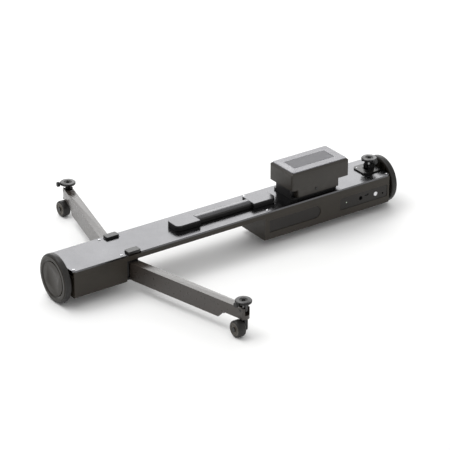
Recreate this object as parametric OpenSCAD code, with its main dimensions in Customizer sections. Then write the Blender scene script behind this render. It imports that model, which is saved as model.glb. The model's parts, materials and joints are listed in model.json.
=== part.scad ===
// Motorised floor dolly that slides a camera tripod along a straight line.
// Frame: X runs along the bar, Y is the way it travels, Z is up.
// The origin is on the floor under the middle of the bar.

/* [Deck] */
// Length of the deck plate along the bar
deck_len = 804; // [760:1:1000]
// Width of the deck plate
deck_w = 98; // [92:1:120]
// Height of the deck's top face above the floor
deck_top = 83; // [80:1:100]
// Thickness of the deck plate
plate_t = 4; // [3:0.5:6]
// Radius of the plate's corners
plate_r = 10; // [4:1:20]
// Depth of the channel that stiffens the plate
channel_h = 10; // [8:1:11]
// Wall of the channel
channel_t = 3.5; // [2.5:0.5:5]

/* [Housings] */
// Length of the left housing
left_len = 125; // [115:1:160]
// Length of the right housing
right_len = 329.5; // [320:0.5:400]
// Floor clearance under the left housing
left_clear = 21; // [17:1:24]
// Floor clearance under the right housing
right_clear = 16; // [12:1:22]
// Wall of both housings
wall = 2.5; // [2:0.25:4]
// Radius along the housings' lower edges
edge_r = 5; // [3:0.5:8]
// Set-back of the housings from the ends of the deck
end_inset = 3; // [1:0.5:6]

/* [Drive wheels] */
// Diameter of the drive wheels over the tyre
wheel_d = 104; // [98:1:125]
// Width of a drive wheel
wheel_w = 15; // [12:0.5:24]
// Gap between the deck's end and the wheel's inner face
wheel_gap = 4; // [2:0.5:8]
// Thickness of the tyre
tyre_t = 3.5; // [2.5:0.5:6]
// Diameter of the hub cap
cap_d = 73; // [60:1:76]
// Depth of the dish that the hub cap sits in
dish = 2.4; // [1.8:0.1:4]
// Diameter of the drive shaft
shaft_d = 12; // [8:0.5:14]
// Number of ribs behind the wheel's face
rib_count = 12; // [6:1:18]

/* [Arms] */
// Distance from the fold hinge to the centre of the tripod foot
arm_len = 311; // [290:1:315]
// Sweep of the open arm from square to the bar, in degrees
arm_sweep = 14; // [5:1:25]
// Width of the arm
arm_w = 20; // [19:0.5:28]
// Depth of the arm
arm_h = 38.5; // [34:0.5:40]
// Height of the arm's top face
arm_top = 62; // [60:0.5:64]
// Wall of the arm
arm_wall = 3; // [2:0.5:4]
// Rise of the arm's underside before the roller
arm_step = 15; // [10:0.5:16]
// Distance of the fold hinges from the left housing
hinge_off = 14.5; // [14:0.5:20]
// Distance of the fold hinges from the bar's middle plane
hinge_y = 26; // [20:0.5:30]
// Diameter of the fold hinge pins
hinge_pin_d = 10; // [8:0.5:12]

/* [Rollers] */
// Diameter of the rollers under the arm ends
roller_d = 35; // [28:0.5:35]
// Width of a roller
roller_w = 18; // [14:0.5:22]
// Thickness of a roller's tyre
roller_tyre = 4; // [2.5:0.5:5]
// Diameter of a roller's axle
axle_d = 8; // [5:0.5:10]

/* [Tripod feet] */
// Outer diameter of the cups that take the tripod's spikes
cup_d = 34; // [28:0.5:36]
// Height of a cup above its pivot
cup_h = 20; // [20:0.5:26]
// Height of the swing pivot above the floor on an arm
arm_pivot_z = 57; // [56.5:0.5:58]
// Height of the swing pivot above the deck
deck_pivot = 7.5; // [7.4:0.1:16]
// Diameter of the swing pins
swing_pin_d = 6; // [4:0.5:7]
// Distance of the deck foot's pivot from the deck's right end
deck_foot_off = 22; // [19:0.5:26]

/* [Battery] */
// Length of the battery
batt_l = 150; // [132:1:156]
// Width of the battery
batt_w = 83; // [78:1:97]
// Thickness of the battery
batt_h = 40.5; // [30:0.5:60]
// Distance from the bar's middle to the battery's left end
batt_x = 143.5; // [140:0.5:150]
// Height of the battery's underside above the deck
batt_lift = 24.5; // [19:0.5:30]

/* [Handle] */
// Length of the grip between its end caps
grip_l = 135; // [110:1:137]
// Width of the grip
grip_w = 29; // [25:0.5:38]
// Height of the lowered grip above the deck
grip_h = 13; // [11:0.5:18]
// Length of an end cap
cap_l = 58; // [46:1:60]
// Width of an end cap
cap_w = 43; // [34:0.5:56]
// Height of an end cap
cap_h = 12.5; // [8:0.5:16]
// Distance from the bar's middle to the left cap's outer end
handle_x = 134; // [130:1:140]

/* [Fits] */
// Gap round pieces that stand apart or slide
gap = 0.3; // [0.2:0.05:0.5]
// Radial running clearance of a shaft in its bore
run = 0.05; // [0.02:0.01:0.1]

/* [Hidden] */
$fn = 64;
eps = 0.01;

// Deck and channel heights
deck_end = deck_len / 2;
plate_z = deck_top - plate_t;
channel_z = plate_z - channel_h;
web_z = plate_z - channel_t;
house_end = deck_end - end_inset;
left_in = -house_end + left_len;
right_in = house_end - right_len;
cover_screw_x = 24;
cover_boss_h = 10;
cover_boss_r = 3.5;
cover_boss_bore = 1.25;
cover_boss_web = 3;
cover_hole_r = 1.6;
cover_rib_in = 16;
cover_rib_t = 1.5;
cover_rib_h = 2;
cover_head_r = 2.8;
cover_head_h = 1.4;
deck_screw_end = 6;
deck_screw_in = 9;
deck_screw_side = 7;
deck_head_r = 2.6;
deck_head_h = 1.2;
channel_rib_y = 9;
channel_rib_t = 3;
channel_rib_h = 3;
cover_screw_y = deck_w / 2 - 14;

// Drive line
wheel_r = wheel_d / 2;
wheel_in = deck_end + wheel_gap;
wheel_out = wheel_in + wheel_w;
rim_r = wheel_r - tyre_t;
cap_t = 1.6;
shaft_cover = 4;
boss_r = 17;
collar_r = 24;
bearing_r = 14;
bearing_w = 8;
mount_t = 5;
gearbox_r = 18;
gearbox_l = 38;
motor_r = 17;
motor_l = 52;
motor_bolt_r = 13;
motor_bolt_hole_r = 1.6;
mount_floor_gap = 3;
mount_wire_y = 34;
mount_wire_r = 7;
encoder_r = 6;
encoder_l = 6;
can_lip_x = 8;
can_lip_r = 0.8;
can_lip_w = 6;
rim_wall = 5;
rib_t = 2;
cap_edge = 0.6;
cap_ring_r = 20;
cap_face_r = 18;
mount_in = house_end - wall - bearing_w - mount_t;
shaft_in = mount_in - 26;

// Arms, in the arm's own frame: x from the hinge to the foot, y across, z up
hinge_x = left_in + hinge_off;
arm_dir = 90 - arm_sweep;
arm_bottom = arm_top - arm_h;
arm_start = 16;
nose_r = arm_w / 2;
nose_x = arm_len + 3;
fork_slot = arm_w - 2 * arm_wall;
fork_back = 12.5;
fork_drop = 10;
step_end = 42;
pocket_first = 44;
pocket_rib = 2.5;
pocket_count = 5;
tongue_l = 40;
tongue_x = 22;
tongue_wall = 2.5;
tongue_pocket = 15;
bracket_top_gap = 0.5;
bracket_back_t = 1.5;
bracket_back_in = 6;
pin_head_h = 2;
root_r = 13;
root_z = arm_bottom + 3.5;
lug_r = 14;
foot_x = hinge_x + arm_len * cos(arm_dir);
foot_y = hinge_y + arm_len * sin(arm_dir);

// Rollers
roller_r = roller_d / 2;
roller_x = -13;
leg_x = roller_x + roller_w / 2 + 1;
leg_t = 8;
leg_w = 17;
head_t = 1.8;
roller_float = 0.6;
bracket_plate_x = 9;
bracket_plate_t = 2.2;
axle_recess_r = 4;
hub_lip = 3.5;
hub_dish = 1.5;

// Feet
ear_t = 3;
ear_r = 3.7;
block_s = 5;
block_h = 5;
lean_pin_d = 4;
cheek_r = 7;
cup_low = 11;
cup_neck = 8.5;
cup_floor = 3;
pad_r = 9;
pad_floor = 1.5;
spike_d = 8.4;
socket_h = 3.5;
screw_z = cup_low + cup_floor + pad_floor + socket_h / 2;
screw_d = 3.6;
knob_d = 11;
knob_l = 7;
knob_flute_r = 1.5;
cup_flare = 4.5;
cup_edge = 1.2;
pad_low = 0.4;
deck_foot_x = deck_end - deck_foot_off;
foot_base_shift = -5;
foot_base_l = 46;
foot_base_w = 46;
foot_base_t = 3;
foot_base_r = 9;
foot_base_slot = 26;
foot_base_bolt_in = 7;
foot_base_bolt_r = 2.2;

// Release buttons
release_l = 30;
release_w = 17;
release_h = 5;
release_travel = 3;
release_r = 3;
release_x = hinge_x + 4;
stem_r = 4;
stem_y = deck_w / 2 - 9;

// Battery and its mount
batt_mid = batt_x + batt_l / 2;
batt_z = deck_top + batt_lift;
shoulder = 4;
lid_t = 2;
label_inset = 18;
mount_base_t = 5;
mount_base_w = 72;
tower_t = 10;
tower_w = 52;
shoe_l = 108;
shoe_w = batt_w - 5;
shoe_x = batt_x + 17;
shoe_z = deck_top + mount_base_t + gap;
rail_w = 40;
rail_lip = 5;
rail_h = 9;
rail_step = 3;
latch_x = shoe_x + 48;
latch_z = 9;
latch_r = 3.5;
latch_proud = 1.2;
latch_l = 5.2;
latch_bore_l = 7;
case_r = 6;
lid_r = 4;
label_d = 0.6;
label_r = 3;

// Handle
grip_x = -handle_x + cap_l;
crown = 5;
crown_r = (pow(grip_w / 2, 2) + pow(crown, 2)) / (2 * crown);
inlay_t = 2;
inlay_w = grip_w - 7;
cap_plate_t = 3;
cap_r = 12;
post_r = 4;
post_l = 30;
post_head_t = 2;
post_at = [grip_x + 25, grip_x + grip_l - 25];

// Panels on the right housing's near face
panel_recess = 1;
panel_t = 2;
port_l = 128;
port_h = 28;
port_x = house_end - 69;
window_l = 134;
window_x = right_in + 77.5;
panel_z = channel_z - 22;
vent_count = 12;
vent_pitch = 6;
vent_w = 2.4;
vent_h = 18;
vent_x = right_in + 45;
button_d = 10;
button_l = 5;
button_stem_r = 2.5;
button_stem_l = 9;
panel_r = 4;
button_x = port_x + 32;
jack_x = port_x - 8;
jack_open = 5.5;
jack_hole_r = 4.6;
jack_body_r = 5.6;
jack_body_l = 12;
jack_bore_r = 4.2;
jack_bore_l = 10;
jack_pin_r = 1.1;
lamp_x = port_x - 46;
lamp_r = 1.6;
data_x = port_x + 8;
data_z = 4;
data_l = 10;
data_h = 4.4;
data_body = [12, 9, 6];
reset_x = port_x + 52;
reset_z = -4;
reset_r = 2.2;

// Control board on the right housing's floor
board_size = [150, 60, 1.6];
board_x = right_in + 30;
board_z = right_clear + 2 * wall + 2;
chip_count = 4;
chip_pitch = 34;
chip_size = [16, 16, 3];
drum_count = 6;
drum_pitch = 24;
drum_r = 4;
drum_h = 11;
plug_size = [30, 18, 12];

// ---------- shared shapes ----------

// Rectangle with round corners, centred
module round_rect(l, w, r) {
    square([l - 2 * r, w], center = true);
    square([l, w - 2 * r], center = true);
    for (x = [-1, 1], y = [-1, 1]) {
        translate([x * (l / 2 - r), y * (w / 2 - r)]) circle(r);
    }
}

// Cylinder along X from x0 to x1
module rod_x(x0, x1, r) {
    translate([x0, 0, 0]) rotate([0, 90, 0]) cylinder(h = x1 - x0, r = r);
}

// Cylinder along Y from y0 to y1
module rod_y(y0, y1, r) {
    translate([0, y0, 0]) rotate([-90, 0, 0]) cylinder(h = y1 - y0, r = r);
}

// Profile (radius, x) turned round the X axis
module turned_x() {
    rotate([0, 90, 0]) rotate_extrude($fn = 96) children();
}

// Cross-section of a housing: square shoulders and soft lower edges
module housing_outline(w, z0, z1, r) {
    translate([0, (z0 + r + z1) / 2]) square([w, z1 - z0 - r], center = true);
    translate([0, z0 + r / 2]) square([w - 2 * r, r], center = true);
    for (y = [-1, 1]) translate([y * (w / 2 - r), z0 + r]) circle(r);
}

// Extrusion along X of a section drawn in Y and Z
module along_x(x0, x1) {
    translate([x0, 0, 0]) rotate([90, 0, 90]) linear_extrude(x1 - x0) children();
}

// Panhead screw standing on z = 0, with a hex socket
module screw_head(r, h) {
    difference() {
        cylinder(h = h, r = r, $fn = 32);
        translate([0, 0, h / 2]) cylinder(h = h, r = r * 0.5, $fn = 6);
    }
}

// Places children at the four deck corners of both housings
module deck_screw_places() {
    outer = deck_end - deck_screw_end;
    xs = [-outer, left_in - deck_screw_in, right_in + deck_screw_in, outer];
    for (x = xs, y = [-1, 1]) translate([x, y * (deck_w / 2 - deck_screw_side), 0]) children();
}

// Places children at the cover screws of one housing
module cover_places(x0, x1) {
    for (x = [x0 + cover_screw_x, x1 - cover_screw_x], y = [-1, 1]) {
        translate([x, y * cover_screw_y, 0]) children();
    }
}

// Moves children from the arm's own frame to the open arm; side is -1 near, 1 far
module on_arm(side) {
    translate([hinge_x, side * hinge_y, 0]) rotate([0, 0, side * arm_dir]) scale_side(side) children();
}

// Mirrors children across the arm for the near side
module scale_side(side) {
    if (side < 0) mirror([0, 1, 0]) children();
    else children();
}

// ---------- deck ----------

module release_notch(extra, z0, z1) {
    for (side = [-1, 1]) {
        y0 = side > 0 ? deck_w / 2 - release_w - extra : -deck_w / 2 - 1;
        translate([release_x - release_l / 2 - extra, y0, z0])
            cube([release_l + 2 * extra, release_w + extra + 1, z1 - z0]);
    }
}

module release_stem_holes(r, z0, z1) {
    for (side = [-1, 1]) translate([release_x, side * stem_y, z0]) cylinder(h = z1 - z0, r = r);
}

module post_holes(r, z0, z1) {
    for (x = post_at) translate([x, 0, z0]) cylinder(h = z1 - z0, r = r);
}

module deck_plate() {
    color("#8f8e93") difference() {
        translate([0, 0, plate_z]) linear_extrude(plate_t) round_rect(deck_len, deck_w, plate_r);
        release_notch(gap, plate_z - 1, deck_top + 1);
        post_holes(post_r + run, plate_z - 1, deck_top + 1);
    }
}

module deck_channel() {
    inner = deck_w / 2 - channel_t;
    color("#5b5650") difference() {
        along_x(-house_end, house_end) union() {
            translate([-deck_w / 2, web_z]) square([deck_w, channel_t]);
            for (y = [-deck_w / 2, inner]) translate([y, channel_z]) square([channel_t, channel_h]);
            for (y = [-1, 1]) translate([y * channel_rib_y - channel_rib_t / 2, web_z - channel_rib_h]) {
                square([channel_rib_t, channel_rib_h + eps]);
            }
        }
        release_stem_holes(stem_r + gap, channel_z, plate_z + 1);
        post_holes(post_r + run, channel_z - 1, plate_z + 1);
    }
}

module deck_screws() {
    color("#d9d9dc") deck_screw_places() translate([0, 0, deck_top]) screw_head(deck_head_r, deck_head_h);
}

// ---------- housings ----------

module housing_shell(x0, x1, z0) {
    inner_w = deck_w - 2 * wall;
    difference() {
        along_x(x0, x1) housing_outline(deck_w, z0, channel_z, edge_r);
        along_x(x0 + wall, x1 - wall) translate([-inner_w / 2, z0 + wall]) square([inner_w, channel_z - z0]);
        translate([x0 + 2 * wall, -deck_w / 2 + edge_r + wall, z0 - 1])
            cube([x1 - x0 - 4 * wall, deck_w - 2 * (edge_r + wall), wall + 2]);
    }
    cover_bosses(x0, x1, z0);
}

// Posts on a housing's side walls that take the cover's screws
module cover_bosses(x0, x1, z0) {
    for (x = [x0 + cover_screw_x, x1 - cover_screw_x], y = [0, 1]) mirror([0, y, 0]) {
        translate([x, cover_screw_y, z0 + wall]) difference() {
            union() {
                cylinder(h = cover_boss_h, r = cover_boss_r);
                translate([-cover_boss_web / 2, 0, 0])
                    cube([cover_boss_web, deck_w / 2 - wall / 2 - cover_screw_y, cover_boss_h]);
            }
            translate([0, 0, -1]) cylinder(h = cover_boss_h + 2, r = cover_boss_bore);
        }
    }
}

module bottom_cover(x0, x1, z0) {
    l = x1 - x0 - 4 * wall - 2 * gap;
    w = deck_w - 2 * (edge_r + wall) - 2 * gap;
    translate([(x0 + x1) / 2, 0, z0]) difference() {
        union() {
            linear_extrude(wall) square([l, w], center = true);
            for (i = [-2:2]) translate([i * l / 6 - cover_rib_t / 2, -w / 2 + cover_rib_in, wall - eps]) {
                cube([cover_rib_t, w - 2 * cover_rib_in, cover_rib_h]);
            }
        }
        for (x = [-1, 1], y = [-1, 1]) {
            translate([x * ((x1 - x0) / 2 - cover_screw_x), y * cover_screw_y, -1])
                cylinder(h = wall + 4, r = cover_hole_r);
        }
    }
}

module left_housing() {
    color("#4d4740") difference() {
        housing_shell(-house_end, left_in, left_clear);
        translate([0, 0, wheel_r]) rod_x(-house_end - 1, -house_end + wall + 1, bearing_r);
    }
}

module bottom_covers() {
    color("#3c3833") {
        bottom_cover(-house_end, left_in, left_clear);
        bottom_cover(right_in, house_end, right_clear);
    }
}

module right_housing() {
    color("#4d4740") difference() {
        housing_shell(right_in, house_end, right_clear);
        translate([0, 0, wheel_r]) rod_x(house_end - wall - 1, house_end + 1, bearing_r);
        panel_cut(port_x, panel_z) port_outline(0);
        panel_cut(window_x, panel_z) window_outline(0);
        vent_slots();
    }
}

// Upright slots that let warm air out of the far wall
module vent_slots() {
    for (i = [0:vent_count - 1]) {
        translate([vent_x + i * vent_pitch - vent_w / 2, deck_w / 2 - wall - 1, panel_z - vent_h / 2])
            cube([vent_w, wall + 2, vent_h]);
    }
}

module cover_screw(z) {
    translate([0, 0, z]) rotate([180, 0, 0]) screw_head(cover_head_r, cover_head_h);
}

module cover_screws() {
    color("#2b2b2b") {
        cover_places(-house_end, left_in) cover_screw(left_clear);
        cover_places(right_in, house_end) cover_screw(right_clear);
    }
}

// ---------- panels on the near face ----------

module port_outline(shrink) {
    round_rect(port_l - 2 * shrink, port_h - 2 * shrink, panel_r);
}

// Long window, square at one end and round at the other
module window_outline(shrink) {
    r = port_h / 2 - shrink;
    translate([window_l / 2 - shrink - r, 0]) circle(r);
    translate([-r / 2, 0]) square([window_l - 2 * shrink - r, 2 * r], center = true);
}

// Cuts through the near wall, from outside
module panel_cut(x, z) {
    translate([x, -deck_w / 2 + wall + 1, z]) rotate([90, 0, 0]) linear_extrude(wall + 2) children();
}

// Stands a plate in the near wall, set back from the face
module in_panel(x, z) {
    translate([x, -deck_w / 2 + panel_recess + panel_t, z]) rotate([90, 0, 0]) linear_extrude(panel_t) children();
}

module port_panel() {
    color("#2c2a27") in_panel(port_x, panel_z) difference() {
        port_outline(gap);
        translate([button_x - port_x, 0]) circle(button_d / 2 + gap);
        translate([jack_x - port_x, 0]) circle(jack_hole_r);
        translate([lamp_x - port_x, 0]) circle(lamp_r);
        translate([data_x - port_x, data_z]) square([data_l, data_h], center = true);
        translate([reset_x - port_x, reset_z]) circle(reset_r);
    }
}

module port_sockets() {
    y0 = -deck_w / 2 + panel_recess + panel_t;
    color("#141414") {
        translate([jack_x, 0, panel_z]) difference() {
            rod_y(y0, y0 + jack_body_l, jack_body_r);
            rod_y(y0 - 1, y0 + jack_bore_l, jack_bore_r);
        }
        translate([jack_x, 0, panel_z]) rod_y(y0 + jack_open, y0 + jack_bore_l, jack_pin_r);
        translate([data_x - data_body[0] / 2, y0, panel_z + 1]) cube(data_body);
    }
}

module power_button() {
    y0 = -deck_w / 2;
    color("#c9c9cc") translate([button_x, 0, panel_z]) {
        rod_y(y0, y0 + button_l, button_d / 2);
        rod_y(y0 + button_l - eps, y0 + button_stem_l, button_stem_r);
    }
}

module side_window() {
    color("#24211e") in_panel(window_x, panel_z) window_outline(gap);
}

// ---------- drive line ----------

// Places children at the left (-1) or right (1) end, with x pointing out of the bar
module at_end(side) {
    translate([0, 0, wheel_r]) {
        if (side < 0) mirror([1, 0, 0]) children();
        else children();
    }
}

// Plate across the housing that carries the gearmotor
module motor_mount_plate() {
    half = deck_w / 2 - panel_recess - panel_t - 1;
    low = right_clear + 2 * wall + mount_floor_gap;
    difference() {
        translate([mount_in, -half, low - wheel_r]) cube([mount_t, 2 * half, channel_z - low]);
        rod_x(mount_in - 1, mount_in + mount_t + 1, shaft_d / 2 + 2);
        for (a = [45:90:315]) {
            rotate([a, 0, 0]) translate([0, 0, motor_bolt_r])
                rod_x(mount_in - 1, mount_in + mount_t + 1, motor_bolt_hole_r);
        }
        for (y = [-1, 1]) translate([0, y * mount_wire_y, 0]) {
            rod_x(mount_in - 1, mount_in + mount_t + 1, mount_wire_r);
        }
    }
}

module motor_mounts() {
    color("#8c8c8c") for (side = [-1, 1]) at_end(side) motor_mount_plate();
}

// Flanged bearing in the end wall, with the black collar that shows behind the wheel
module drive_bearing() {
    difference() {
        union() {
            rod_x(house_end - wall - bearing_w, house_end + eps, bearing_r);
            rod_x(house_end, wheel_in - 1, collar_r);
        }
        rod_x(house_end - wall - bearing_w - 1, wheel_in, shaft_d / 2 + run);
    }
}

module drive_bearings() {
    color("#1a1a1a") for (side = [-1, 1]) at_end(side) drive_bearing();
}

module gearmotor() {
    motor_end = mount_in - gearbox_l - motor_l;
    difference() {
        union() {
            rod_x(mount_in - gearbox_l, mount_in, gearbox_r);
            rod_x(motor_end, mount_in - gearbox_l + eps, motor_r);
            rod_x(motor_end - encoder_l, motor_end + eps, encoder_r);
            translate([motor_end + can_lip_x, 0, 0]) turned_x() polygon([
                [motor_r - 1, 0], [motor_r + can_lip_r, 1], [motor_r + can_lip_r, can_lip_w - 1],
                [motor_r - 1, can_lip_w]
            ]);
        }
        rod_x(shaft_in - 0.5, mount_in + 1, shaft_d / 2 + run);
    }
}

module left_gearmotor() {
    color("#9a9a98") at_end(-1) gearmotor();
}

module right_gearmotor() {
    color("#9a9a98") at_end(1) gearmotor();
}

module drive_shaft() {
    rod_x(shaft_in, wheel_out - dish - shaft_cover, shaft_d / 2);
}

module left_shaft() {
    color("#b8b8ba") at_end(-1) drive_shaft();
}

module right_shaft() {
    color("#b8b8ba") at_end(1) drive_shaft();
}

// Section of the wheel from the blind bore to the rim: dished outside, hollow inside
module wheel_section() {
    face = wheel_out - dish;
    bore = shaft_d / 2;
    polygon([
        [0, face], [0, face - shaft_cover], [bore, face - shaft_cover], [bore, wheel_in], [boss_r, wheel_in],
        [boss_r + 1, face - rim_wall], [rim_r - rim_wall, face - rim_wall],
        [rim_r - rim_wall + 1, wheel_in + 0.5], [rim_r, wheel_in + 0.5],
        [rim_r, wheel_out - 1.5], [rim_r - 2, wheel_out], [cap_d / 2 + 4, wheel_out], [cap_d / 2 + gap, face]
    ]);
}

module drive_wheel() {
    turned_x() wheel_section();
    for (i = [0:rib_count - 1]) rotate([i * 360 / rib_count, 0, 0]) {
        translate([wheel_in + 2, -rib_t / 2, boss_r - 1]) cube([wheel_w - dish - 6, rib_t, rim_r - boss_r - 3]);
    }
}

module left_wheel() {
    color("#2a2825") at_end(-1) drive_wheel();
}

module right_wheel() {
    color("#2a2825") at_end(1) drive_wheel();
}

// Tyre with a shallow crown, so that it rolls on its middle
module tyre_band(x0, w, r, t) {
    bevel = t * 0.55;
    turned_x() polygon([
        [r - t, x0], [r - bevel, x0], [r - bevel * 0.25, x0 + bevel * 0.75], [r, x0 + bevel * 2],
        [r, x0 + w - bevel * 2], [r - bevel * 0.25, x0 + w - bevel * 0.75], [r - bevel, x0 + w], [r - t, x0 + w]
    ]);
}

module left_tyre() {
    color("#171717") at_end(-1) tyre_band(wheel_in + 0.5, wheel_w - 2, wheel_r, tyre_t);
}

module right_tyre() {
    color("#171717") at_end(1) tyre_band(wheel_in + 0.5, wheel_w - 2, wheel_r, tyre_t);
}

module hub_cap() {
    x0 = wheel_out - dish;
    turned_x() polygon([
        [0, x0], [cap_d / 2, x0], [cap_d / 2, x0 + cap_t - cap_edge], [cap_d / 2 - cap_edge, x0 + cap_t],
        [cap_ring_r, x0 + cap_t], [cap_face_r, x0 + cap_t - cap_edge], [0, x0 + cap_t - cap_edge]
    ]);
}

module left_hub_cap() {
    color("#3d3a35") at_end(-1) hub_cap();
}

module right_hub_cap() {
    color("#3d3a35") at_end(1) hub_cap();
}

// ---------- electronics ----------

module main_board() {
    face = board_size[2] - eps;
    color("#1f4d2e") translate([board_x, 0, board_z]) {
        translate([0, -board_size[1] / 2, 0]) cube(board_size);
        for (i = [0:chip_count - 1]) translate([14 + i * chip_pitch, -20, face]) cube(chip_size);
        for (i = [0:drum_count - 1]) translate([12 + i * drum_pitch, 18, face]) {
            cylinder(h = drum_h, r = drum_r, $fn = 24);
        }
        translate([board_size[0] - 40, -8, face]) cube(plug_size);
    }
}

// ---------- fold hinges ----------

module lug(z0, z1) {
    translate([0, 0, z0]) linear_extrude(z1 - z0) {
        translate([hinge_x, hinge_y]) circle(lug_r);
        translate([left_in, hinge_y - lug_r]) square([hinge_off, 2 * lug_r]);
    }
}

module hinge_bracket() {
    half = deck_w / 2 - channel_t - gap;
    color("#161616") difference() {
        union() {
            translate([left_in, -half, arm_top + bracket_top_gap])
                cube([hinge_off + lug_r, 2 * half, web_z - arm_top - bracket_top_gap]);
            for (side = [0, 1]) mirror([0, side, 0]) lug(left_clear, root_z - gap);
            translate([left_in, -half + bracket_back_in, left_clear])
                cube([bracket_back_t, 2 * (half - bracket_back_in), web_z - left_clear]);
        }
        for (side = [-1, 1]) translate([hinge_x, side * hinge_y, 0]) cylinder(h = deck_top, r = hinge_pin_d / 2);
        release_stem_holes(stem_r + gap, arm_top, deck_top);
        translate([left_in - 1, -channel_rib_y - channel_rib_t / 2 - gap, web_z - channel_rib_h - gap])
            cube([hinge_off + lug_r + 2, 2 * (channel_rib_y + gap) + channel_rib_t, channel_rib_h + 1]);
    }
}

module hinge_pins() {
    color("#b4b4b6") for (side = [-1, 1]) translate([hinge_x, side * hinge_y, 0]) {
        translate([0, 0, left_clear]) cylinder(h = web_z - left_clear - 4, r = hinge_pin_d / 2);
        translate([0, 0, left_clear - pin_head_h]) screw_head(hinge_pin_d / 2 + 3, pin_head_h);
    }
}

// ---------- arms ----------

// Side outline of the arm: deep beam, chamfer, and a shallow end over the roller
module arm_side() {
    polygon([
        [arm_start, arm_top], [arm_start, arm_bottom], [arm_len - step_end - arm_step, arm_bottom],
        [arm_len - step_end, arm_bottom + arm_step], [nose_x + nose_r, arm_bottom + arm_step],
        [nose_x + nose_r, arm_top]
    ]);
}

module arm_plan() {
    translate([arm_start, -arm_w / 2]) square([nose_x - arm_start, arm_w]);
    translate([nose_x, 0]) circle(nose_r);
}

// Hollows under the arm, with cross ribs left between them
module arm_pockets() {
    last = arm_len - fork_back - arm_wall;
    pitch = (last - pocket_first + pocket_rib) / pocket_count;
    inner = arm_w / 2 - arm_wall;
    translate([arm_start - 1, -inner, arm_bottom - 1])
        cube([pocket_first - pocket_rib - arm_start + 1, 2 * inner, arm_h - arm_wall + 1]);
    for (i = [0:pocket_count - 1]) {
        translate([pocket_first + i * pitch, -inner, arm_bottom - 1])
            cube([pitch - pocket_rib, 2 * inner, arm_h - arm_wall + 1]);
    }
}

module arm() {
    difference() {
        union() {
            intersection() {
                translate([0, arm_w / 2, 0]) rotate([90, 0, 0]) linear_extrude(arm_w) arm_side();
                translate([0, 0, arm_bottom]) linear_extrude(arm_h) arm_plan();
            }
            translate([arm_len, -arm_w / 2, arm_pivot_z]) rotate([-90, 0, 0]) cylinder(h = arm_w, r = cheek_r);
        }
        arm_pockets();
        translate([arm_len - fork_back, -fork_slot / 2, arm_pivot_z - fork_drop])
            cube([fork_back + nose_r + 10, fork_slot, arm_h]);
        translate([arm_len, 0, arm_pivot_z]) rod_y(-arm_w, arm_w, swing_pin_d / 2 + run);
    }
}

module near_arm() {
    color("#4a453f") on_arm(-1) arm();
}

module far_arm() {
    color("#4a453f") on_arm(1) arm();
}

// Black knuckle on the fold pin, with a tongue that plugs into the arm
module arm_root() {
    inner = arm_w / 2 - arm_wall - 0.1;
    difference() {
        union() {
            translate([0, 0, root_z]) cylinder(h = arm_top - root_z, r = root_r);
            translate([0, -inner, root_z]) cube([tongue_l, 2 * inner, arm_top - arm_wall - root_z]);
        }
        translate([0, 0, root_z - 1]) cylinder(h = arm_h + 2, r = hinge_pin_d / 2 + run);
        translate([tongue_x, -inner + tongue_wall, root_z - 1])
            cube([tongue_pocket, 2 * (inner - tongue_wall), arm_h - 10]);
    }
}

module near_arm_root() {
    color("#121212") on_arm(-1) arm_root();
}

module far_arm_root() {
    color("#121212") on_arm(1) arm_root();
}

// ---------- rollers ----------

// Places children at the roller's centre under an arm's end
module at_roller(side) {
    translate([foot_x, side * foot_y, roller_r]) children();
}

// Single-sided bracket with its stub axle
module roller_bracket() {
    top = arm_bottom + arm_step - roller_r;
    axle_end = roller_x - roller_w / 2 - roller_float;
    color("#2a2724") {
        difference() {
            union() {
                along_x(leg_x, leg_x + leg_t) union() {
                    translate([-leg_w / 2, 0]) square([leg_w, top]);
                    circle(leg_w / 2);
                }
                translate([-bracket_plate_x, -leg_w / 2, top - bracket_plate_t])
                    cube([leg_x + bracket_plate_x + 1, leg_w, bracket_plate_t]);
            }
            rod_x(leg_x + leg_t - 2, leg_x + leg_t + 1, axle_recess_r);
        }
        rod_x(axle_end, leg_x + eps, axle_d / 2);
        rod_x(axle_end - head_t, axle_end + eps, axle_d / 2 + 1.5);
    }
}

module near_roller_bracket() {
    at_roller(-1) roller_bracket();
}

module far_roller_bracket() {
    at_roller(1) roller_bracket();
}

module roller_hub() {
    x0 = roller_x - roller_w / 2;
    x1 = roller_x + roller_w / 2;
    r = roller_r - roller_tyre;
    lip = axle_d / 2 + hub_lip;
    turned_x() polygon([
        [axle_d / 2 + run, x0], [lip, x0], [lip + 1, x0 + hub_dish], [r - 2.5, x0 + hub_dish],
        [r - 1.5, x0], [r, x0], [r, x1], [r - 1.5, x1], [r - 2.5, x1 - hub_dish], [lip + 1, x1 - hub_dish],
        [lip, x1], [axle_d / 2 + run, x1]
    ]);
}

module near_roller_hub() {
    color("#4a4540") at_roller(-1) roller_hub();
}

module far_roller_hub() {
    color("#4a4540") at_roller(1) roller_hub();
}

module near_roller_tyre() {
    color("#191919") at_roller(-1) tyre_band(roller_x - roller_w / 2, roller_w, roller_r, roller_tyre);
}

module far_roller_tyre() {
    color("#191919") at_roller(1) tyre_band(roller_x - roller_w / 2, roller_w, roller_r, roller_tyre);
}

// ---------- tripod feet ----------

// Places children at a foot's pivot: x out along the arm, y across
module at_foot(side) {
    on_arm(side) translate([arm_len, 0, arm_pivot_z]) children();
}

module at_deck_foot() {
    translate([deck_foot_x, 0, deck_top + deck_pivot]) children();
}

// Cross block: one pin pair swings in the fork, the other carries the cup
module trunnion() {
    half = fork_slot / 2 - gap;
    translate([-block_s, -half, -block_h]) cube([2 * block_s, 2 * half, 2 * block_h]);
    rod_y(-arm_w / 2, arm_w / 2, swing_pin_d / 2);
    rod_x(-block_s - gap - ear_t, block_s + gap + ear_t, lean_pin_d / 2);
}

module near_trunnion() {
    color("#8e8e90") at_foot(-1) trunnion();
}

module far_trunnion() {
    color("#8e8e90") at_foot(1) trunnion();
}

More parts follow.
